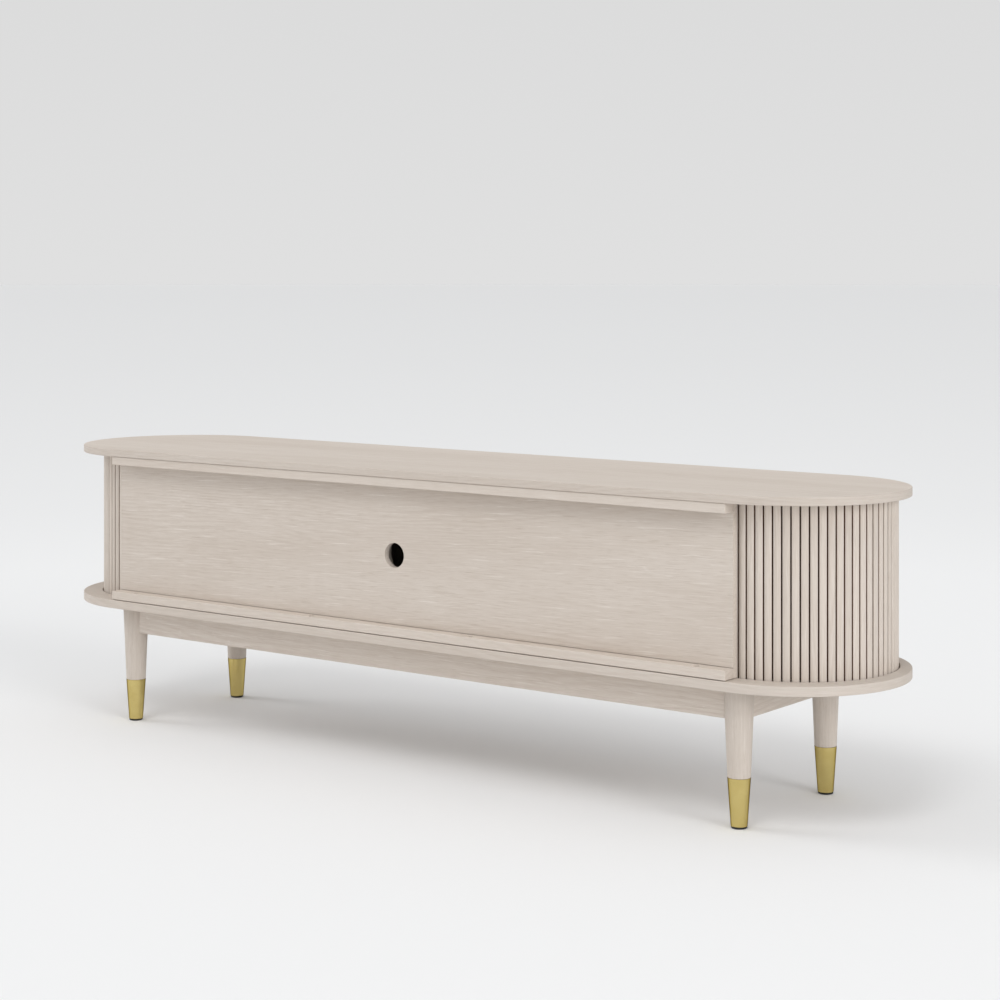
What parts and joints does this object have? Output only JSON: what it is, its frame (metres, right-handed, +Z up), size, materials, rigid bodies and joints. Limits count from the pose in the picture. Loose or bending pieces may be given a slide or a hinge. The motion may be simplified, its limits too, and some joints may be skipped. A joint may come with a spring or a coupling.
{
  "type": "media cabinet",
  "caption": "Low media cabinet with a racetrack top and base, slatted tambour doors that slide round the rounded ends, a cable hole in its rear panel and tapered legs.",
  "frame": {"origin": "on the floor, under the middle of the cabinet's plan", "axes": "+Z up, +X along the length to the right-hand end as seen from the doors, doors face -Y, rear panel faces +Y"},
  "size_m": [1.7996, 0.404, 0.538],
  "materials": {
    "pale_oak": "pale whitewashed open-grain oak, satin lacquer",
    "beech_dowel": "plain beech",
    "satin_brass": "satin brass",
    "black_nylon": "matt black nylon",
    "dark_canvas": "dark brown woven canvas",
    "zinc_steel": "zinc plated steel"
  },
  "bodies": {
    "cabinet": {"top_board": "pale_oak", "base_board": "pale_oak", "rear_panel": "pale_oak", "rear_top_batten": "pale_oak", "rear_bottom_batten": "pale_oak", "false_back": "pale_oak", "left_end_partition": "pale_oak", "left_divider": "pale_oak", "left_shelf": "pale_oak", "left_apron": "pale_oak", "left_end_slats": "pale_oak", "right_end_partition": "pale_oak", "right_divider": "pale_oak", "right_shelf": "pale_oak", "right_apron": "pale_oak", "right_end_slats": "pale_oak", "front_apron": "pale_oak", "rear_apron": "pale_oak", "leg_front_left": "pale_oak", "corner_block_front_left": "pale_oak", "leg_front_right": "pale_oak", "corner_block_front_right": "pale_oak", "leg_rear_left": "pale_oak", "corner_block_rear_left": "pale_oak", "leg_rear_right": "pale_oak", "corner_block_rear_right": "pale_oak", "partition_dowels": "beech_dowel", "ferrule_front_left": "satin_brass", "glide_front_left": "black_nylon", "ferrule_front_right": "satin_brass", "glide_front_right": "black_nylon", "ferrule_rear_left": "satin_brass", "glide_rear_left": "black_nylon", "ferrule_rear_right": "satin_brass", "glide_rear_right": "black_nylon", "left_end_canvas": "dark_canvas", "right_end_canvas": "dark_canvas", "shelf_pins": "zinc_steel", "glide_nails": "zinc_steel", "hanger_bolts": "zinc_steel", "bolt_washers": "zinc_steel", "bolt_nuts": "zinc_steel", "partition_screws": "zinc_steel", "false_back_screws": "zinc_steel", "panel_screws": "zinc_steel", "batten_screws": "zinc_steel", "corner_block_screws": "zinc_steel"},
    "left_door": {"left_lead_stile": "pale_oak", "left_front_slats": "pale_oak", "left_front_canvas": "dark_canvas"},
    "right_door": {"right_lead_stile": "pale_oak", "right_front_slats": "pale_oak", "right_front_canvas": "dark_canvas"}
  },
  "joints": [
    {"name": "left_door_slide", "type": "slide", "parent": "cabinet", "child": "left_door", "axis": [-1, 0, 0], "range_m": [0, 0.645], "deforming": ["left_front_slats", "left_front_canvas"]},
    {"name": "right_door_slide", "type": "slide", "parent": "cabinet", "child": "right_door", "axis": [1, 0, 0], "range_m": [0, 0.645], "deforming": ["right_front_slats", "right_front_canvas"]}
  ]
}
